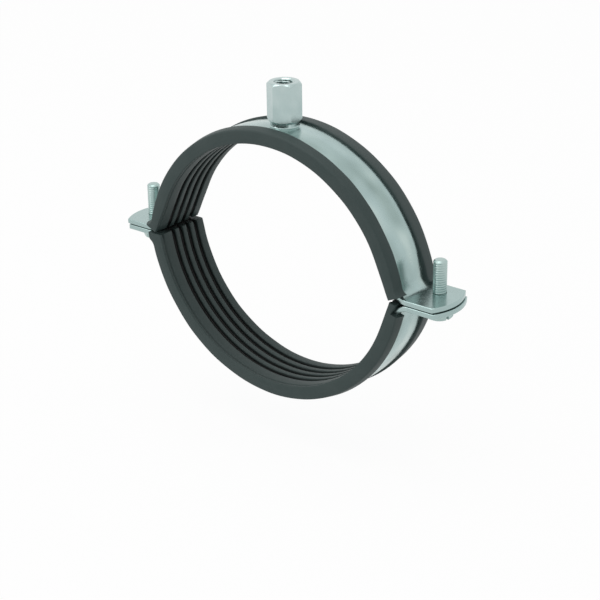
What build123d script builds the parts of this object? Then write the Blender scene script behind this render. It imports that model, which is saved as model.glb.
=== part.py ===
"""Two-part steel pipe clamp with rubber linings, a welded threaded boss and two clamping screws.

Frame: X runs from ear to ear, Y along the pipe, Z up through the boss. The origin lies on the
boss's axis, in the plane where the two halves meet, half way across the band.
"""
import os
from math import asin, cos, degrees, radians, sin, sqrt

from build123d import *

os.makedirs("parts", exist_ok=True)

# ---- driving dimensions (mm) ----
seat_radius = 62.9            # rib tops of a lining, from its arc's centre
arc_drop = 9.4                # each arc's centre lies this far beyond the split plane

band_width = 24.0
band_thickness = 2.2
band_crown = 1.1              # the arc's middle stands out this far past its edges
crown_flat = 11.2             # level strip along the middle of the crown
crown_end = 9.0               # degrees over which the crown runs out before each bend
bend_radius = 5.0             # outer side of the bend between band and ear
ear_gap = 0.3                 # between the closed ears
ear_length = 12.85            # flat part of an ear, from the bend to its corners
ear_nose = 3.5                # how far the rounded end stands out past the corners
lower_half_shift = 0.7        # the lower half hangs this far to +X in its screw holes

lining_floor = 2.9            # rubber between the pipe and the band's edges
lining_side = 2.2             # rubber beside the band's edges
front_lip_width = 4.7         # each lip over the band, with the side wall
rear_lip_width = 7.2
lip_rise = 1.8                # of a lip's inner edge, over the band's edges
rim_rise = 0.85               # of its rim
lining_gap = 0.8              # between the ends of the two linings
groove_count = 4
groove_width = 2.4
rib_width = 2.4
groove_depth = 1.7
rear_land = 4.2               # plain strip behind the last groove
bead_width = 1.2              # plain strip at the front edge
valley_width = 1.2            # shallow groove behind the bead
valley_depth = 0.8
floor_wrap = 60               # degrees that a lining's floor follows the bends
upper_lip_wrap = (45, 60)     # degrees that the lips follow them: at +X, at -X
lower_lip_wrap = (14, 60)

boss_flats = 13.0             # across the flats
boss_height = 18.4            # from the crown of the band
boss_neck_height = 1.4
boss_neck_radius = 5.6
boss_chamfer = 1.1
rod_bore_radius = 3.4         # M8 thread, drawn as its core hole
rod_mouth_radius = 4.4

screw_radius = 2.9            # M6
screw_length = 19.0
screw_tip_chamfer = 0.7
right_screw_place = (7.1, 3.7)   # in from the ear's corners, and behind the middle of the band
left_screw_place = (4.6, 0.8)
head_flats = 10.0
head_height = 6.0
head_chamfer = 0.6
slot_width = 1.6
slot_depth = 2.0
slot_turn = -15               # degrees from +X
thread_clearance = 0.05       # round the screw in the upper ear
hole_clearance = 0.5          # round the screw in the lower ear

# ---- sizes that follow ----
band_inner = seat_radius + lining_floor
band_outer = band_inner + band_thickness
lining_width = band_width + 2 * lining_side
ear_under = ear_gap / 2
ear_top = ear_under + band_thickness

# The bend touches the outside of the arc and the top of the ear.
bend_z = ear_top + bend_radius
bend_x = sqrt((band_outer + bend_radius) ** 2 - (bend_z + arc_drop) ** 2)
bend_start = degrees(asin((bend_z + arc_drop) / (band_outer + bend_radius)))
crown_start = bend_start + crown_end

ear_corner_x = bend_x + ear_length
right_spot = (ear_corner_x - right_screw_place[0], right_screw_place[1])
left_spot = (left_screw_place[0] - ear_corner_x, left_screw_place[1])
boss_seat = band_outer + band_crown - arc_drop
boss_top = boss_seat + boss_height


def arc_plane(angle):
    """A plane across the arc: its x runs along the pipe, its y outward from the arc's centre."""
    turn = radians(angle)
    return Plane((0, 0, -arc_drop), x_dir=(0, 1, 0), z_dir=(sin(turn), 0, -cos(turn)))


def strip_section(crown):
    """The band cut across: x over its width, y outward from the arc's centre.

    It is rolled in three strips, the middle one level and the outer ones falling to the edges.
    """
    edge, fold = band_width / 2, crown_flat / 2
    with BuildSketch() as section:
        Polygon(
            (-edge, band_inner), (-fold, band_inner + crown), (fold, band_inner + crown), (edge, band_inner),
            (edge, band_outer), (fold, band_outer + crown), (-fold, band_outer + crown), (-edge, band_outer),
            align=None,
        )
    return section.sketch


def band_blank():
    """The upper band before its screw holes are made: a crowned arc, two outward bends and two ears."""
    ear_end = ear_corner_x + ear_nose
    edge = band_width / 2
    strip_place = (0, (band_inner + band_outer) / 2)
    with BuildPart() as blank:
        with BuildSketch(arc_plane(crown_start)):
            add(strip_section(band_crown))
        revolve(axis=Axis((0, 0, -arc_drop), (0, -1, 0)), revolution_arc=180 - 2 * crown_start)
        for side in (1, -1):
            start, crowned = (bend_start, crown_start) if side > 0 else (180 - bend_start, 180 - crown_start)
            # the crown runs out
            with BuildSketch(arc_plane(crowned)):
                add(strip_section(band_crown))
            with BuildSketch(arc_plane(start)):
                add(strip_section(0.001))
            loft()
            with BuildSketch(arc_plane(start)):
                with Locations(strip_place):
                    Rectangle(band_width, band_thickness)
            revolve(axis=Axis((side * bend_x, 0, bend_z), (0, -side, 0)), revolution_arc=90 - bend_start)
            # an ear: square corners and a shallow round nose
            with BuildSketch(Plane.XY.offset(ear_under)):
                with BuildLine():
                    ThreePointArc((side * ear_corner_x, -edge), (side * ear_end, 0), (side * ear_corner_x, edge))
                    Polyline((side * ear_corner_x, edge), (side * bend_x, edge),
                             (side * bend_x, -edge), (side * ear_corner_x, -edge))
                make_face()
            extrude(amount=band_thickness)
    return blank.part


def lining_section():
    """The lining cut across: x over its width, front to rear, y outward from the arc's centre."""
    rear = lining_width / 2
    front = -rear
    mouth = band_inner + band_thickness / 2 + band_crown / 2
    last_groove = rear - rear_land - groove_width / 2
    with BuildSketch() as section:
        with BuildLine():
            Polyline(
                (front, seat_radius),
                (front, band_outer + rim_rise),
                (front + front_lip_width, band_outer + lip_rise),
                (front + front_lip_width, mouth),
                (rear - rear_lip_width, mouth),
                (rear - rear_lip_width, band_outer + lip_rise),
                (rear, band_outer + rim_rise),
                (rear, seat_radius),
                close=True,
            )
        make_face()
        with Locations(*[(last_groove - i * (groove_width + rib_width), seat_radius) for i in range(groove_count)]):
            Rectangle(groove_width, 2 * groove_depth, mode=Mode.SUBTRACT)
        with Locations((front + bead_width + valley_width / 2, seat_radius)):
            valley = [(-valley_width / 2, 0), (valley_width / 2, 0), (0, valley_depth)]
            Polygon(*valley, align=(Align.CENTER, Align.MIN), mode=Mode.SUBTRACT)
    return section.sketch


def lining_blank(lip_wrap, band):
    """The upper lining: it lies along the band's arc, then bends away with the band at both ends.

    Its floor is cut flat, just clear of the split plane. Its lips end sooner, at the wrap angles.
    """
    lip_height = band_outer - band_inner + lip_rise
    with BuildPart() as blank:
        with BuildSketch(arc_plane(bend_start)):
            add(lining_section())
        revolve(axis=Axis((0, 0, -arc_drop), (0, -1, 0)), revolution_arc=180 - 2 * bend_start)
        for side, lip_angle in zip((1, -1), lip_wrap):
            start = bend_start if side > 0 else 180 - bend_start
            bend_axis = Axis((side * bend_x, 0, bend_z), (0, -side, 0))
            with BuildSketch(arc_plane(start)):
                add(lining_section())
            revolve(axis=bend_axis, revolution_arc=lip_angle)
            if lip_angle < floor_wrap:
                with BuildSketch(arc_plane(start)):
                    add(lining_section())
                    with Locations((0, band_inner)):
                        Rectangle(lining_width, lip_height, align=(Align.CENTER, Align.MIN), mode=Mode.SUBTRACT)
                revolve(axis=bend_axis, revolution_arc=floor_wrap)
        add(band, mode=Mode.SUBTRACT)
        split(bisect_by=Plane.XY.offset(lining_gap / 2), keep=Keep.TOP)
    return blank.part


def clamping_screw(spot):
    """A hexagon screw with a slotted head, pushed up from below through both ears."""
    seat_z = -ear_top
    head_corner = head_flats / sqrt(3)
    with BuildPart() as screw:
        with BuildSketch(Plane((*spot, seat_z - head_height))):
            RegularPolygon(head_flats / 2, 6, major_radius=False, rotation=30)
        extrude(amount=head_height)
        # the head's free end is turned down to a cone
        with BuildSketch(Plane((*spot, 0), x_dir=(1, 0, 0), z_dir=(0, -1, 0))):
            with BuildLine():
                Polyline(
                    (0, seat_z),
                    (head_corner, seat_z),
                    (head_corner, seat_z - head_height + head_chamfer),
                    (head_flats / 2, seat_z - head_height),
                    (0, seat_z - head_height),
                    close=True,
                )
            make_face()
        revolve(axis=Axis((*spot, 0), (0, 0, 1)), mode=Mode.INTERSECT)
        with BuildSketch(Plane((*spot, seat_z - head_height))):
            Rectangle(2 * head_corner, slot_width, rotation=slot_turn)
        extrude(amount=slot_depth, mode=Mode.SUBTRACT)
        with BuildSketch(Plane((*spot, seat_z))):
            Circle(screw_radius)
        extrude(amount=screw_length)
        chamfer(edges().group_by(Axis.Z)[-1], screw_tip_chamfer)
    return screw.part


# ---- upper half ----
upper_band_blank = band_blank()

with BuildPart() as upper_band:
    add(upper_band_blank)
    with Locations((*right_spot, ear_top), (*left_spot, ear_top)):
        Hole(screw_radius + thread_clearance)

with BuildPart() as boss_nut:
    boss_corner = boss_flats / sqrt(3)
    boss_foot = boss_seat + boss_neck_height
    # two flats face along X
    with BuildSketch(Plane.XY.offset(boss_foot)):
        RegularPolygon(boss_flats / 2, 6, major_radius=False, rotation=30)
    extrude(amount=boss_height - boss_neck_height)
    with BuildSketch(Plane.XZ):
        with BuildLine():
            Polyline(
                (0, boss_foot),
                (boss_flats / 2 - boss_chamfer / 4, boss_foot),
                (boss_corner, boss_foot + boss_chamfer),
                (boss_corner, boss_top - boss_chamfer),
                (boss_flats / 2 - boss_chamfer / 4, boss_top),
                (0, boss_top),
                close=True,
            )
        make_face()
    revolve(axis=Axis.Z, mode=Mode.INTERSECT)
    # the neck reaches down to the band and is cut to its curve
    with BuildSketch(Plane.XY.offset(boss_foot)):
        Circle(boss_neck_radius)
    extrude(amount=-2 * boss_neck_height)
    with BuildSketch(Plane.XZ.offset(-boss_corner)):
        with Locations((0, -arc_drop)):
            Circle(band_outer + band_crown)
    extrude(amount=2 * boss_corner, mode=Mode.SUBTRACT)
    with Locations((0, 0, boss_top)):
        CounterSinkHole(rod_bore_radius, rod_mouth_radius, counter_sink_angle=90)

with BuildPart() as upper_lining:
    add(lining_blank(upper_lip_wrap, upper_band_blank))

# ---- lower half: the same bending and the same section, turned over ----
lower_band_blank = mirror(upper_band_blank, about=Plane.XY)
lower_lining_blank = mirror(lining_blank(lower_lip_wrap, upper_band_blank), about=Plane.XY)

with BuildPart() as lower_band:
    with Locations((lower_half_shift, 0, 0)):
        add(lower_band_blank)
    with Locations((*right_spot, -ear_under), (*left_spot, -ear_under)):
        Hole(screw_radius + hole_clearance)

with BuildPart() as lower_lining:
    with Locations((lower_half_shift, 0, 0)):
        add(lower_lining_blank)

# ---- screws ----
with BuildPart() as right_screw:
    add(clamping_screw(right_spot))

with BuildPart() as left_screw:
    add(clamping_screw(left_spot))

# ---- pieces ----
upper_band.part.label = "upper_band"
boss_nut.part.label = "boss_nut"
upper_lining.part.label = "upper_lining"
lower_band.part.label = "lower_band"
lower_lining.part.label = "lower_lining"
right_screw.part.label = "right_screw"
left_screw.part.label = "left_screw"

export_step(upper_band.part, "parts/upper_band.step")
export_step(boss_nut.part, "parts/boss_nut.step")
export_step(upper_lining.part, "parts/upper_lining.step")
export_step(lower_band.part, "parts/lower_band.step")
export_step(lower_lining.part, "parts/lower_lining.step")
export_step(right_screw.part, "parts/right_screw.step")
export_step(left_screw.part, "parts/left_screw.step")
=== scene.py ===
from math import asin, atan2, ceil, cos, degrees, hypot, pi, radians, sin, sqrt, tan

import bmesh
import bpy
from mathutils import Matrix, Vector


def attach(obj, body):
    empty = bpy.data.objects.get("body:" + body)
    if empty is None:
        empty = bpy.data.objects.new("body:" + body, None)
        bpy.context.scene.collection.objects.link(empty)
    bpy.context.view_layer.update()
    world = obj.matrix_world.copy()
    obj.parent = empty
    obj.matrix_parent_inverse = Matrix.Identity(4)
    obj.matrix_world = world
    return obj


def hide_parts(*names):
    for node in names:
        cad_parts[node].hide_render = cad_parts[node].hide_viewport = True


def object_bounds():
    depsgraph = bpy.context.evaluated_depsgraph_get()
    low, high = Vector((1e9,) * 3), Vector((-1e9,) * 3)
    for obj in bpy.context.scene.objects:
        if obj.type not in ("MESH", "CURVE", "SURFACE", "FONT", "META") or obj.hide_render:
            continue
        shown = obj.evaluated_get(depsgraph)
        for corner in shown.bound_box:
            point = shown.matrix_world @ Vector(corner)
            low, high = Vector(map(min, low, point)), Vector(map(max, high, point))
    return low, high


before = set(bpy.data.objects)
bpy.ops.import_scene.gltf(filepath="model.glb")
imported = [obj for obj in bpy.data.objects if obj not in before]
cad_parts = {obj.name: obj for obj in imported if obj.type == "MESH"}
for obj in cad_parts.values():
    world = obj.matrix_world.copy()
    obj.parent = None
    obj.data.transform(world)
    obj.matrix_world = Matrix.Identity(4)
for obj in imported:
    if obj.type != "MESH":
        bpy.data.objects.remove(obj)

cad_box = [[float(x) for x in corner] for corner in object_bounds()]

# ---- dimensions in mm: the part's own, apart from the linings' ends and the boss's wider neck ----
SEAT_R, ARC_DROP = 62.9, 9.4
BAND_W, BAND_T, BEND_R = 24.0, 2.2, 5.0
CROWN, CROWN_END = 1.1, 12.0
EAR_GAP, EAR_L, EAR_NOSE = 0.3, 12.85, 3.5
SHIFT = 0.7
FLOOR, SIDE, FRONT_LIP, REAR_LIP = 2.9, 2.2, 4.7, 7.2
LIP_RISE, RIM_RISE = 1.8, 0.85
# each end of a lining, at +X and at -X: the angle (degrees) at which it leaves the arc and runs on
# straight, its seat's height over the split plane, how far its lips end short of it, and the
# slope of its cut (degrees)
UPPER_ENDS = ((23.5, 1.39, 0.0, 23.5), (25.5, 0.75, 0.0, 24.0))
LOWER_ENDS = ((20.0, -0.79, 3.5, 14.0), (13.6, 0.0, 0.0, 0.0))
GROOVES, GROOVE_W, RIB_W, GROOVE_D, REAR_LAND = 4, 2.4, 2.4, 1.7, 4.2
BEAD_W, VALLEY_W, VALLEY_D = 1.2, 1.2, 0.8
NUT_AF, NUT_H, NECK_H, NECK_R, NUT_CH = 13.0, 18.4, 1.4, 6.1, 1.1
BORE_R, BORE_THREAD, BORE_PITCH = 4.2, 0.7, 1.25
MOUTH_R, MOUTH_H = 4.4, 0.5
SCREW_R, SCREW_L, SCREW_THREAD, SCREW_PITCH = 2.9, 19.0, 0.12, 1.0
TIP_R, TIP_CH = 2.2, 0.8
CLOSE_HOLE, WIDE_HOLE = SCREW_R + 0.05, SCREW_R + 0.5
HEAD_AF, HEAD_H, HEAD_CH = 10.0, 6.0, 0.6
SLOT_W, SLOT_D, SLOT_TURN = 1.6, 2.0, -15.0

BAND_IN = SEAT_R + FLOOR
BAND_OUT = BAND_IN + BAND_T
EAR_TOP = EAR_GAP / 2 + BAND_T
BEND_Z = EAR_TOP + BEND_R
BEND_X = sqrt((BAND_OUT + BEND_R) ** 2 - (BEND_Z + ARC_DROP) ** 2)
BEND_A = degrees(asin((BEND_Z + ARC_DROP) / (BAND_OUT + BEND_R)))
CORNER_X = BEND_X + EAR_L
RIGHT = (CORNER_X - 7.1, 3.7)
LEFT = (4.6 - CORNER_X, 0.8)
NUT_SEAT = BAND_OUT + CROWN - ARC_DROP
NUT_TOP = NUT_SEAT + NUT_H
SEAT = SEAT_R - BAND_OUT
GROOVE_START = BAND_W / 2 + SIDE - REAR_LAND - GROOVES * GROOVE_W - (GROOVES - 1) * RIB_W
MM = 0.001


# ---- mesh helpers ----
def rounded(corners, radii, steps=4):
    """A closed outline whose corners are rounded, each with its own radius."""
    points = []
    n = len(corners)
    for i, (corner, radius) in enumerate(zip(corners, radii)):
        p = Vector(corner)
        if radius <= 0:
            points.append(p)
            continue
        a = (Vector(corners[i - 1]) - p).normalized()
        b = (Vector(corners[(i + 1) % n]) - p).normalized()
        half = a.angle(b) / 2
        centre = p + (a + b).normalized() * (radius / sin(half))
        start = p + a * (radius / tan(half)) - centre
        turn = a.angle(b)
        sweep_angle = pi - turn
        sign = 1 if a.x * b.y - a.y * b.x < 0 else -1
        for k in range(steps + 1):
            t = sign * sweep_angle * k / steps
            c, s = cos(t), sin(t)
            turned = Vector((start.x * c - start.y * s, start.x * s + start.y * c))
            points.append(centre + turned)
    return points


def run_points(points, longest):
    """The outline with its long runs divided, so that no run is longer than longest."""
    out = []
    for i, p in enumerate(points):
        q = points[(i + 1) % len(points)]
        n = max(1, ceil((q - p).length / longest))
        out += [p.lerp(q, k / n) for k in range(n)]
    return out


def to_mesh(name, bm):
    mesh = bpy.data.meshes.new(name)
    bm.to_mesh(mesh)
    bm.free()
    return mesh


def linked(name, data):
    obj = bpy.data.objects.new(name, data)
    bpy.context.scene.collection.objects.link(obj)
    return obj


def smooth(mesh, sharp):
    """Smooth shading, with edges over sharp degrees kept sharp."""
    mesh.shade_smooth()
    mesh.set_sharp_from_angle(angle=radians(sharp))


def new_object(name, bm, body, material, sharp):
    """A piece of the clamp from a mesh drawn in mm."""
    bmesh.ops.recalc_face_normals(bm, faces=bm.faces)
    for v in bm.verts:
        v.co *= MM
    mesh = to_mesh(name, bm)
    smooth(mesh, sharp)
    obj = linked(name, mesh)
    obj.data.materials.append(material)
    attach(obj, body)
    return obj


def cut(obj, cutter):
    """Cuts one mesh out of another and keeps the result as the object's own mesh."""
    modifier = obj.modifiers.new("cut", "BOOLEAN")
    modifier.operation = "DIFFERENCE"
    modifier.solver = "EXACT"
    modifier.object = cutter
    bpy.context.view_layer.update()
    result = obj.evaluated_get(bpy.context.evaluated_depsgraph_get())
    mesh = bpy.data.meshes.new_from_object(result)
    obj.modifiers.clear()
    obj.data = mesh
    bpy.data.objects.remove(cutter)


def weighted(obj):
    modifier = obj.modifiers.new("normals", "WEIGHTED_NORMAL")
    modifier.keep_sharp = True
    modifier.weight = 60


def cutter_cylinder(centre, radius, low, high):
    bm = bmesh.new()
    bmesh.ops.create_cone(bm, cap_ends=True, segments=64, radius1=radius * MM,
                          radius2=radius * MM, depth=(high - low) * MM)
    middle = Vector((centre[0], centre[1], (low + high) / 2))
    bmesh.ops.translate(bm, verts=bm.verts, vec=middle * MM)
    return linked("cutter", to_mesh("cutter", bm))


# ---- the line that the band follows: (point on its outer face, outward direction, arc length) ----
def arc_stations():
    n = ceil((180 - 2 * BEND_A) / 1.5)
    out = []
    for i in range(n + 1):
        angle = radians(BEND_A + (180 - 2 * BEND_A) * i / n)
        d = Vector((cos(angle), sin(angle)))
        out.append((Vector((0, -ARC_DROP)) + BAND_OUT * d, d, BAND_OUT * angle))
    return out


def bend_stations(side):
    """From where the bend leaves the arc, outward, to the ear."""
    wrap = 90 - BEND_A
    n = ceil(wrap / 3.0)
    out = []
    for i in range(1, n + 1):
        angle = radians(180 + BEND_A + wrap * i / n)
        d = Vector((cos(angle), sin(angle)))
        point = Vector((BEND_X, BEND_Z)) + BEND_R * d
        length = BAND_OUT * radians(BEND_A) - BEND_R * radians(wrap * i / n)
        if side < 0:
            point.x, d = -point.x, Vector((-d.x, d.y))
            length = BAND_OUT * pi - length
        out.append((point, -d, length))
    return out


def stations():
    return bend_stations(1)[::-1] + arc_stations() + bend_stations(-1)


def crown(y, length):
    """How far the band stands out past its edges here."""
    angle = degrees(length / BAND_OUT)
    t = (min(angle, 180 - angle) - BEND_A) / CROWN_END
    t = min(1.0, max(0.0, t))
    return CROWN * max(0.0, 1 - (2 * y / BAND_W) ** 2) * t * t * (3 - 2 * t)


def place(point, direction, y, out, lower):
    x, z = point + direction * out
    return Vector((x + SHIFT, y, -z)) if lower else Vector((x, y, z))


def skin(bm, uv, rings, outline, line):
    """Faces between the rings, with texture coordinates in metres along the line and round."""
    around = [0.0]
    n = len(outline)
    for i in range(n):
        around.append(around[-1] + (outline[(i + 1) % n] - outline[i]).length)
    for i in range(len(rings) - 1):
        for j in range(n):
            k = (j + 1) % n
            face = bm.faces.new((rings[i][j], rings[i][k], rings[i + 1][k], rings[i + 1][j]))
            corners = ((i, j), (i, j + 1), (i + 1, j + 1), (i + 1, j))
            for loop, (a, b) in zip(face.loops, corners):
                loop[uv].uv = (line[a][2] * MM, around[b] * MM)


def sweep(bm, outline, line, lower):
    """The crowned band along the line. An outline point is (y, distance outward from the band)."""
    uv = bm.loops.layers.uv.verify()
    rings = []
    for point, direction, length in line:
        rings.append([bm.verts.new(place(point, direction, y, out + crown(y, length), lower))
                      for y, out in outline])
    skin(bm, uv, rings, outline, line)
    return rings


# ---- materials ----
def node_material(name):
    material = bpy.data.materials.new(name)
    material.use_nodes = True
    tree = material.node_tree
    return material, tree, tree.nodes["Principled BSDF"]


def noise(tree, vector, scale, detail, rough, stretch=(1, 1, 1)):
    mapping = tree.nodes.new("ShaderNodeMapping")
    mapping.inputs["Scale"].default_value = stretch
    tree.links.new(vector, mapping.inputs["Vector"])
    node = tree.nodes.new("ShaderNodeTexNoise")
    node.inputs["Scale"].default_value = scale
    node.inputs["Detail"].default_value = detail
    node.inputs["Roughness"].default_value = rough
    tree.links.new(mapping.outputs["Vector"], node.inputs["Vector"])
    return node.outputs["Fac"]


def ramp(tree, value, stops):
    node = tree.nodes.new("ShaderNodeValToRGB")
    elements = node.color_ramp.elements
    while len(elements) < len(stops):
        elements.new(0.5)
    for element, (position, colour) in zip(elements, stops):
        element.position = position
        element.color = (*colour, 1)
    tree.links.new(value, node.inputs["Fac"])
    return node.outputs["Color"]


def spread(tree, value, low, high):
    """The middle of a noise's values, stretched from low to high."""
    node = tree.nodes.new("ShaderNodeMapRange")
    node.inputs["From Min"].default_value = 0.3
    node.inputs["From Max"].default_value = 0.7
    node.inputs["To Min"].default_value = low
    node.inputs["To Max"].default_value = high
    tree.links.new(value, node.inputs["Value"])
    return node.outputs["Result"]


def mix(tree, fac, a, b):
    node = tree.nodes.new("ShaderNodeMix")
    node.data_type = "RGBA"
    tree.links.new(fac, node.inputs["Factor"])
    for socket, value in (("A", a), ("B", b)):
        target = [s for s in node.inputs if s.name == socket and s.type == "RGBA"][0]
        if isinstance(value, tuple):
            target.default_value = (*value, 1)
        else:
            tree.links.new(value, target)
    return [s for s in node.outputs if s.type == "RGBA"][0]


def bump(tree, relief, distance, strength, normal=None):
    node = tree.nodes.new("ShaderNodeBump")
    node.inputs["Strength"].default_value = strength
    node.inputs["Distance"].default_value = distance
    tree.links.new(relief, node.inputs["Height"])
    if normal is not None:
        tree.links.new(normal, node.inputs["Normal"])
    return node.outputs["Normal"]


ZINC_FILM, ZINC_DULL = (0.42, 0.55, 0.56), (0.30, 0.37, 0.37)


def zinc(name, dark, base, bright, rough, streaks):
    """Blue-passivated zinc plate: clouds, fine grain and, on a rolled band, streaks along it."""
    material, tree, shader = node_material(name)
    coordinates = tree.nodes.new("ShaderNodeTexCoord")
    where = coordinates.outputs["Object"]
    if streaks:
        clouds = noise(tree, coordinates.outputs["UV"], 1.0, 2, 0.5, (34, 60, 1))
        colour = ramp(tree, clouds, [(0.34, dark), (0.50, base), (0.62, bright)])
        film = noise(tree, coordinates.outputs["UV"], 1.0, 1, 0.5, (22, 120, 1))
        colour = mix(tree, spread(tree, film, 0.0, 0.5), colour, ZINC_FILM)
    else:
        clouds = noise(tree, where, 45, 3, 0.55)
        colour = ramp(tree, clouds, [(0.36, dark), (0.50, base), (0.64, bright)])
    blotches = noise(tree, where, 160, 5, 0.6)
    colour = mix(tree, spread(tree, blotches, 0.0, 0.12), colour, ZINC_DULL)
    tree.links.new(colour, shader.inputs["Base Color"])
    shader.inputs["Metallic"].default_value = 0.92
    grain = noise(tree, where, 300, 4, 0.6)
    tree.links.new(spread(tree, grain, rough, rough + 0.09), shader.inputs["Roughness"])
    normal = bump(tree, noise(tree, where, 2600, 3, 0.6), 0.000010, 0.3 if streaks else 0.15)
    if streaks:
        lines = noise(tree, coordinates.outputs["UV"], 1.0, 2, 0.5, (25, 1500, 1))
        normal = bump(tree, lines, 0.00002, 0.3, normal)
    tree.links.new(normal, shader.inputs["Normal"])
    return material


def rubber(name):
    """Black EPDM: matt, with faint extrusion lines and mottling, and painted shade that darkens its
    grooves to near black.
    """
    material, tree, shader = node_material(name)
    coordinates = tree.nodes.new("ShaderNodeTexCoord")
    where = coordinates.outputs["Object"]
    mottle = noise(tree, where, 120, 6, 0.62)
    lines = noise(tree, coordinates.outputs["UV"], 1.0, 3, 0.55, (10, 900, 1))
    skins = [(0.35, (0.021, 0.040, 0.038)), (0.65, (0.033, 0.052, 0.050))]
    colour = ramp(tree, mottle, skins)
    colour = mix(tree, spread(tree, lines, 0.0, 0.25), colour, (0.042, 0.060, 0.058))
    # painted shade: the groove mask below turns the rubber's colour near black down in the grooves
    groove_painted_shade = tree.nodes.new("ShaderNodeAttribute")
    groove_painted_shade.attribute_name = "groove_painted_shade"
    colour = mix(tree, groove_painted_shade.outputs["Fac"], colour, (0.0005, 0.001, 0.001))
    tree.links.new(colour, shader.inputs["Base Color"])
    tree.links.new(spread(tree, mottle, 0.52, 0.62), shader.inputs["Roughness"])
    shader.inputs["Specular IOR Level"].default_value = 0.38
    normal = bump(tree, noise(tree, where, 1800, 4, 0.6), 0.00003, 0.45)
    normal = bump(tree, lines, 0.00004, 0.4, normal)
    tree.links.new(normal, shader.inputs["Normal"])
    return material


BAND_STEEL = zinc("band_zinc", (0.25, 0.34, 0.32), (0.36, 0.47, 0.45), (0.48, 0.59, 0.56),
                  rough=0.20, streaks=True)
BOSS_STEEL = zinc("boss_zinc", (0.38, 0.49, 0.48), (0.43, 0.54, 0.53), (0.49, 0.59, 0.58),
                  rough=0.18, streaks=False)
SCREW_STEEL = zinc("screw_zinc", (0.32, 0.43, 0.42), (0.38, 0.50, 0.48), (0.46, 0.57, 0.55),
                   rough=0.26, streaks=False)
LINING_RUBBER = rubber("epdm_rubber")


# ---- bands ----
def band(name, lower, body, hole_r):
    half = BAND_W / 2
    corners = [(-half, 0), (half, 0), (half, -BAND_T), (-half, -BAND_T)]
    outline = run_points(rounded(corners, [0.35] * 4, 3), 1.2)
    bm = bmesh.new()
    rings = sweep(bm, outline, stations(), lower)
    # the ears carry on from the end rings, level by level
    chord, rise = half, EAR_NOSE
    nose_r = (chord ** 2 + rise ** 2) / (2 * rise)
    nose_a = asin(chord / nose_r)
    levels = {}
    for j, p in enumerate(outline):
        levels.setdefault(round(p.y, 4), []).append(j)
    for side, end in ((1, rings[0]), (-1, rings[-1])):
        paths = []
        for out in sorted(levels):
            level = sorted(levels[out], key=lambda j: outline[j].x)
            front, rear = level[0], level[-1]
            margin = half + outline[front].x
            path = [end[front]]
            for k in range(17):
                a = -nose_a + 2 * nose_a * k / 16
                x = CORNER_X + EAR_NOSE - nose_r + (nose_r - margin) * cos(a)
                y = (nose_r - margin) * sin(a)
                if abs(y) > half - margin:
                    y = (half - margin) * (1 if y > 0 else -1)
                point = Vector((side * x, EAR_TOP))
                path.append(bm.verts.new(place(point, Vector((0, 1)), y, out, lower)))
            path.append(end[rear])
            paths.append((path, [end[j] for j in level[-2:0:-1]]))
        for (a, _), (b, _) in zip(paths, paths[1:]):
            for k in range(len(a) - 1):
                bm.faces.new((a[k], a[k + 1], b[k + 1], b[k]))
        for path, between in (paths[0], paths[-1]):
            bm.faces.new(path + between)
    obj = new_object(name, bm, body, BAND_STEEL, 60)
    for spot in (RIGHT, LEFT):
        cut(obj, cutter_cylinder(spot, hole_r, -6, 6))
    smooth(obj.data, 50)
    weighted(obj)
    return obj


upper_band = band("upper_band_steel", False, "upper_half", CLOSE_HOLE)
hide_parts("upper_band")
lower_band = band("lower_band_steel", True, "lower_half", WIDE_HOLE)
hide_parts("lower_band")


# ---- linings ----
WANDER_R = 68.0  # the side walls' waves are counted by the angle at this radius


def lining_outline(lips):
    """The lining cut across, or only its floor under the band."""
    half = BAND_W / 2 + SIDE
    front_mouth, rear_mouth = FRONT_LIP - half, half - REAR_LIP
    valley = -half + BEAD_W
    corners = [(-half, SEAT), (valley, SEAT)]
    corners += [(valley + VALLEY_W / 2, SEAT + VALLEY_D), (valley + VALLEY_W, SEAT)]
    radii = [0.5, 0.3, 0.2, 0.25]
    for i in range(GROOVES):
        a = GROOVE_START + i * (GROOVE_W + RIB_W)
        b = a + GROOVE_W
        corners += [(a, SEAT), (a, SEAT + GROOVE_D), (b, SEAT + GROOVE_D), (b, SEAT)]
        radii += [0.35, 0.4, 0.4, 0.35]
    corners.append((half, SEAT))
    radii.append(0.5)
    if lips:
        corners += [(half, RIM_RISE), (rear_mouth, LIP_RISE), (rear_mouth, 0)]
        corners += [(BAND_W / 2, 0), (BAND_W / 2, -BAND_T)]
        corners += [(-BAND_W / 2, -BAND_T), (-BAND_W / 2, 0)]
        corners += [(front_mouth, 0), (front_mouth, LIP_RISE), (-half, RIM_RISE)]
        radii += [0.8, 0.45, 0, 0, 0, 0, 0, 0, 0.45, 0.8]
    else:
        corners += [(half, -BAND_T), (-half, -BAND_T)]
        radii += [0.3, 0.3]
    return run_points(rounded(corners, radii, 3), 2.4)


def height(p):
    """How far over the seat a point of the XZ plane lies, by the arc or, past it, by the bend."""
    x = abs(p.x)
    if degrees(atan2(p.y + ARC_DROP, x)) >= BEND_A:
        return hypot(x, p.y + ARC_DROP) - SEAT_R
    return BEND_R + BAND_T + FLOOR - hypot(x - BEND_X, p.y - BEND_Z)


def reach(at, direction, h):
    """How far out from the seat the surface lies that is h over it: the rubber follows the bend."""
    if h < FLOOR:
        return h / FLOOR * reach(at, direction, FLOOR)
    low, high = 0.0, 12.0
    if height(at) > 0.02:
        bend = Vector((BEND_X if at.x > 0 else -BEND_X, BEND_Z))
        high = (bend - at).dot(direction)
    high = min(max(high, FLOOR), LIP_RISE + BAND_T + FLOOR + 0.5)
    for _ in range(24):
        middle = (low + high) / 2
        if height(at + direction * middle) < h:
            low = middle
        else:
            high = middle
    return low


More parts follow.
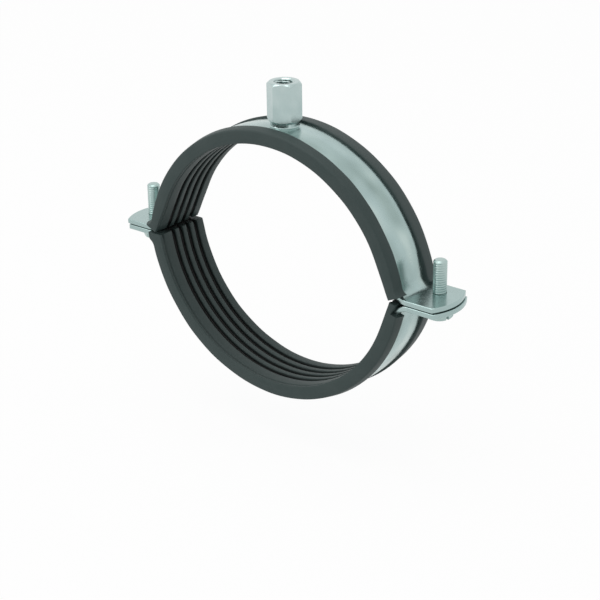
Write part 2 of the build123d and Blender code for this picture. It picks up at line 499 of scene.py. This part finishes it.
def lining_line(ends):
    """(point on the seat, outward direction, length along the band), from +X to -X."""
    line = []
    first, last = radians(ends[0][0]), pi - radians(ends[1][0])
    n = 100
    for i in range(n + 1):
        a = first + (last - first) * i / n
        d = Vector((cos(a), sin(a)))
        line.append((Vector((0, -ARC_DROP)) + SEAT_R * d, d, BAND_OUT * a))
    for side, (angle, z, _, slope) in zip((1, -1), ends):
        a = radians(angle)
        at, d, length = line[0] if side > 0 else line[-1]
        run = (at.y - z) / cos(a)
        along = Vector((side * sin(a), -cos(a)))
        m = 12
        more = []
        for k in range(1, m + 1):
            turned = radians(angle + (slope - angle) * (k / m) ** 2)
            d = Vector((side * cos(turned), sin(turned)))
            more.append((at + along * (run * k / m), d, length - side * run * k / m))
        line = more[::-1] + line if side > 0 else line + more
    return line


def lining(name, lower, body, ends, node):
    def soft(y, out, length):
        """Rubber lies against the crowned band, and its lips and side walls wander a little."""
        s = length / WANDER_R
        phase = 1.7 if lower else 0.0
        side = 1 if y > 0 else -1
        wander = 0.0
        if abs(y) > BAND_W / 2 + 0.2:
            waves = 0.07 * sin(9 * s + phase + side) + 0.04 * sin(23 * s + 2 * side)
            wander = side * (waves - 0.05)
        elif out > LIP_RISE / 2:
            wander = side * (0.10 * sin(11 * s + phase - side) + 0.05 * sin(27 * s + side))
        under = -BAND_T - 0.01 < out < 0.01 and abs(y) < BAND_W / 2 + 0.01
        return (wander, crown(y, length) if under else 0.0)

    groove_end = BAND_W / 2 + SIDE - REAR_LAND
    bm = bmesh.new()
    uv = bm.loops.layers.uv.verify()
    groove_painted_shade = bm.verts.layers.float.new("groove_painted_shade")

    def solid(line, outline, whole):
        """A closed length of rubber: the whole section, or only its floor under the band."""
        rings = []
        for at, direction, length in line:
            points = []
            for y, out in outline:
                dy, rise = soft(y, out, length)
                h = out + rise - SEAT
                s = reach(at, direction, h)
                if not whole:
                    s = min(s, h)
                vert = bm.verts.new(place(at, direction, y + dy, s, lower))
                depth = out - SEAT
                # painted shade mask: 0 at the groove mouths, rising to 1 past 0.6 of the groove
                # depth
                grooved = GROOVE_START - 0.1 < y < groove_end + 0.1
                if grooved and 0.04 < depth < GROOVE_D + 0.1:
                    vert[groove_painted_shade] = min(1.0, depth / (0.6 * GROOVE_D))
                points.append(vert)
            rings.append(points)
        skin(bm, uv, rings, outline, line)
        bm.faces.new(rings[0])
        bm.faces.new(rings[-1])

    line = lining_line(ends)
    short_right, short_left = ends[0][2], ends[1][2]
    low, high = line[0][2] + short_right, line[-1][2] - short_left
    solid([at for at in line if low - 0.01 <= at[2] <= high + 0.01], lining_outline(True), True)
    if short_right:
        solid([at for at in line if at[2] <= low + 1.5], lining_outline(False), False)
    if short_left:
        solid([at for at in line if at[2] >= high - 1.5], lining_outline(False), False)
    obj = new_object(name, bm, body, LINING_RUBBER, 38)
    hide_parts(node)


lining("upper_lining_rubber", False, "upper_half", UPPER_ENDS, "upper_lining")
lining("lower_lining_rubber", True, "lower_half", LOWER_ENDS, "lower_lining")


# ---- hexagons ----
def hexagon(flats, radius):
    """A hexagon with rounded edges, as points round its centre."""
    per_flat, per_corner = 10, 5
    points = []
    spoke = (flats / 2 - radius) / cos(pi / 6)
    for i in range(6):
        middle = pi / 6 + i * pi / 3
        centre = Vector((cos(middle), sin(middle))) * spoke
        for k in range(per_corner):
            a = middle - pi / 6 + pi / 3 * k / (per_corner - 1)
            points.append(centre + Vector((cos(a), sin(a))) * radius)
        following = middle + pi / 3
        nxt = Vector((cos(following), sin(following))) * spoke
        end = nxt + Vector((cos(following - pi / 6), sin(following - pi / 6))) * radius
        start = points[-1]
        points += [start.lerp(end, k / per_flat) for k in range(1, per_flat)]
    return points


def closed_solid(bm, rings):
    """Faces from ring to ring, and one over each end."""
    for a, b in zip(rings, rings[1:]):
        n = len(a)
        for i in range(n):
            j = (i + 1) % n
            bm.faces.new((a[i], a[j], b[j], b[i]))
    bm.faces.new(rings[0])
    bm.faces.new(rings[-1])


def ring(bm, points, z):
    """One loop of vertices: z is a number, or a function of the point."""
    return [bm.verts.new((p[0], p[1], z(p) if callable(z) else z)) for p in points]


def on_circle(points, radius):
    return [Vector((p[0], p[1])).normalized() * radius for p in points]


def inset(points, by):
    return [Vector((p[0], p[1])) * (1 - by / hypot(p[0], p[1])) for p in points]


def thread_wave(z, angle, pitch):
    """1 on the crest and 0 in the root of a right-hand thread, with flat crests and roots."""
    root, flank = 0.14, 0.66
    t = (z / pitch - angle / (2 * pi)) % 1.0
    t = abs(2 * t - 1)
    return min(1.0, max(0.0, (t - root) / flank))


def threaded(bm, outline, z, r_of):
    """One loop of vertices whose distance from the axis is r_of(angle)."""
    angles = [atan2(p[1], p[0]) for p in outline]
    return ring(bm, [(r_of(a) * cos(a), r_of(a) * sin(a)) for a in angles], z)


# ---- boss nut ----
def nut():
    outline = hexagon(NUT_AF, 0.45)
    face_r = NUT_AF / 2 - NUT_CH / 4
    slope = NUT_CH / (NUT_AF / sqrt(3) - face_r)
    foot = NUT_SEAT + NECK_H

    def drop(p):
        return max(0.0, hypot(p[0], p[1]) - face_r) * slope

    def band_top(p):
        here = BAND_OUT + crown(p[1], BAND_OUT * pi / 2)
        return sqrt(here ** 2 - p[0] ** 2) - ARC_DROP - 0.15

    bm = bmesh.new()
    rings = []
    bottom = NUT_SEAT + 0.3
    count = 150
    for i in range(count + 1):
        z = bottom + (NUT_TOP - MOUTH_H - bottom) * i / count
        rings.append(threaded(
            bm, outline, z, lambda a: BORE_R - BORE_THREAD * thread_wave(z, a, BORE_PITCH)))
    rings += [
        ring(bm, on_circle(outline, MOUTH_R), NUT_TOP - 0.12),
        ring(bm, on_circle(outline, MOUTH_R + 0.12), NUT_TOP),
        ring(bm, on_circle(outline, face_r - 0.15), NUT_TOP),
        ring(bm, on_circle(outline, face_r + 0.1), NUT_TOP - 0.06),
        ring(bm, inset(outline, 0.16), lambda p: NUT_TOP - drop(p) - 0.03),
        ring(bm, inset(outline, 0.04), lambda p: NUT_TOP - drop(p) - 0.05),
        ring(bm, outline, lambda p: NUT_TOP - drop(p) - 0.22),
        ring(bm, outline, lambda p: foot + drop(p) + 0.22),
        ring(bm, inset(outline, 0.04), lambda p: foot + drop(p) + 0.05),
        ring(bm, inset(outline, 0.16), lambda p: foot + drop(p) + 0.03),
        ring(bm, on_circle(outline, face_r - 0.1), foot),
        ring(bm, on_circle(outline, NECK_R + 0.1), foot),
        ring(bm, on_circle(outline, NECK_R), foot - 0.1),
        ring(bm, on_circle(outline, NECK_R), lambda p: band_top(p) + 0.45),
        ring(bm, on_circle(outline, NECK_R + 0.1), lambda p: band_top(p) + 0.28),
        ring(bm, on_circle(outline, NECK_R + 0.35), band_top),
    ]
    closed_solid(bm, rings)
    obj = new_object("boss_nut_steel", bm, "upper_half", BOSS_STEEL, 32)
    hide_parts("boss_nut")
    weighted(obj)


nut()


# ---- screws ----
def screw(name, spot, body, node):
    seat = -EAR_TOP
    tip = seat + SCREW_L
    low = seat - HEAD_H
    outline = hexagon(HEAD_AF, 0.3)
    face_r = HEAD_AF / 2
    slope = HEAD_CH / (HEAD_AF / sqrt(3) - face_r)

    def drop(p):
        return max(0.0, hypot(p[0], p[1]) - face_r + 0.12) * slope

    bm = bmesh.new()
    rings = [
        ring(bm, on_circle(outline, 1.2), low),
        ring(bm, on_circle(outline, face_r - 0.25), low),
        ring(bm, inset(outline, 0.1), lambda p: low + drop(p) + 0.02),
        ring(bm, outline, lambda p: low + drop(p) + 0.14),
        ring(bm, outline, seat - 0.12),
        ring(bm, inset(outline, 0.12), seat),
        ring(bm, on_circle(outline, SCREW_R + 0.1), seat),
    ]
    count = 200
    for i in range(count + 1):
        z = seat + 0.1 + (tip - seat - 0.16) * i / count
        limit = min(SCREW_R, TIP_R + (tip - z)) if tip - z < TIP_CH else SCREW_R
        rings.append(threaded(bm, outline, z, lambda a: min(
            SCREW_R - SCREW_THREAD + SCREW_THREAD * thread_wave(z, a, SCREW_PITCH), limit)))
    rings.append(ring(bm, on_circle(outline, TIP_R - 0.1), tip))
    rings.append(ring(bm, on_circle(outline, 0.8), tip))
    closed_solid(bm, rings)
    bmesh.ops.translate(bm, verts=bm.verts, vec=(spot[0], spot[1], 0))
    obj = new_object(name, bm, body, SCREW_STEEL, 30)
    slot_bm = bmesh.new()
    bmesh.ops.create_cube(slot_bm, size=1.0)
    turn = Matrix.Rotation(radians(SLOT_TURN), 3, "Z")
    for v in slot_bm.verts:
        corner = Vector((v.co.x * 14, v.co.y * SLOT_W, v.co.z * 2 * SLOT_D))
        v.co = (turn @ corner + Vector((*spot, low))) * MM
    cut(obj, linked("slot", to_mesh("slot", slot_bm)))
    smooth(obj.data, 30)
    weighted(obj)
    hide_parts(node)


screw("right_screw_steel", RIGHT, "right_screw", "right_screw")
screw("left_screw_steel", LEFT, "left_screw", "left_screw")


# ---- floor, world and lamps ----
FLOOR_HALF, FLOOR_DROP = 6.0, 0.02


def seen_directly(tree):
    """1 for what the camera and the metal's gloss see, and 0 for what lights the object."""
    path = tree.nodes.new("ShaderNodeLightPath")
    seen = tree.nodes.new("ShaderNodeMath")
    seen.operation = "MAXIMUM"
    tree.links.new(path.outputs["Is Camera Ray"], seen.inputs[0])
    tree.links.new(path.outputs["Is Glossy Ray"], seen.inputs[1])
    return seen.outputs[0]


def pale_floor():
    mesh = bpy.data.meshes.new("floor")
    # the clamp hangs, and its lower half comes down when it opens, so the floor lies well below
    size, z = FLOOR_HALF, cad_box[0][2] - FLOOR_DROP
    corners = [(-size, -size, z), (size, -size, z), (size, size, z), (-size, size, z)]
    mesh.from_pydata(corners, [], [(0, 1, 2, 3)])
    obj = linked("floor", mesh)
    material = bpy.data.materials.new("floor_paper")
    material.use_nodes = True
    tree = material.node_tree
    tree.nodes.clear()
    output = tree.nodes.new("ShaderNodeOutputMaterial")
    diffuse = tree.nodes.new("ShaderNodeBsdfDiffuse")
    diffuse.inputs["Color"].default_value = (0.93, 0.93, 0.93, 1)
    glow = tree.nodes.new("ShaderNodeEmission")
    glow.inputs["Strength"].default_value = 1.0
    share = tree.nodes.new("ShaderNodeMath")
    share.operation = "MULTIPLY"
    share.inputs[1].default_value = 0.94
    tree.links.new(seen_directly(tree), share.inputs[0])
    mixer = tree.nodes.new("ShaderNodeMixShader")
    tree.links.new(share.outputs[0], mixer.inputs["Fac"])
    tree.links.new(diffuse.outputs[0], mixer.inputs[1])
    tree.links.new(glow.outputs[0], mixer.inputs[2])
    tree.links.new(mixer.outputs[0], output.inputs["Surface"])
    obj.data.materials.append(material)


pale_floor()


def white_world():
    world = bpy.data.worlds.new("studio")
    bpy.context.scene.world = world
    world.use_nodes = True
    tree = world.node_tree
    background = tree.nodes["Background"]
    strength = tree.nodes.new("ShaderNodeMapRange")
    strength.inputs["To Min"].default_value = 0.6
    strength.inputs["To Max"].default_value = 1.0
    tree.links.new(seen_directly(tree), strength.inputs["Value"])
    tree.links.new(strength.outputs["Result"], background.inputs["Strength"])
    background.inputs["Color"].default_value = (1, 1, 1, 1)


white_world()


def lamp(name, place_at, size, power, shine=1.0):
    """An area lamp that looks at the middle of the clamp."""
    data = bpy.data.lights.new(name, "AREA")
    data.shape = "RECTANGLE"
    data.size, data.size_y = size
    data.energy = power
    data.specular_factor = shine
    obj = linked(name, data)
    obj.location = place_at
    obj.rotation_euler = (-Vector(place_at)).to_track_quat("-Z", "Y").to_euler()


lamp("top", (-0.2, -0.2, 1.5), (1.2, 1.2), power=7, shine=0.3)
lamp("front", (-0.9, -1.3, 0.7), (0.9, 0.9), power=5)

# ---- camera, fitted to the photo: turns in degrees, and metres back, right and up ----
AZIMUTH, ELEVATION, ROLL = 39.492, 23.43, -0.814
BACK_BY, RIGHT_BY, UP_BY = 0.688113, 0.005529, -0.018357

azimuth, elevation, roll = radians(AZIMUTH), radians(ELEVATION), radians(ROLL)
back = Vector((sin(azimuth) * cos(elevation), -cos(azimuth) * cos(elevation), sin(elevation)))
level = Vector((cos(azimuth), sin(azimuth), 0))
upright = back.cross(level)
right = level * cos(roll) + upright * sin(roll)
up = upright * cos(roll) - level * sin(roll)
camera_data = bpy.data.cameras.new("camera")
camera_data.sensor_width = 36
camera_data.sensor_fit = "HORIZONTAL"
camera_data.lens = 96
camera_data.clip_start = 0.01
camera = linked("camera", camera_data)
matrix = Matrix((right, up, back)).transposed().to_4x4()
matrix.translation = BACK_BY * back + RIGHT_BY * right + UP_BY * up
camera.matrix_world = matrix
bpy.context.scene.camera = camera

bpy.context.scene.view_settings.view_transform = "Standard"

bpy.context.view_layer.update()
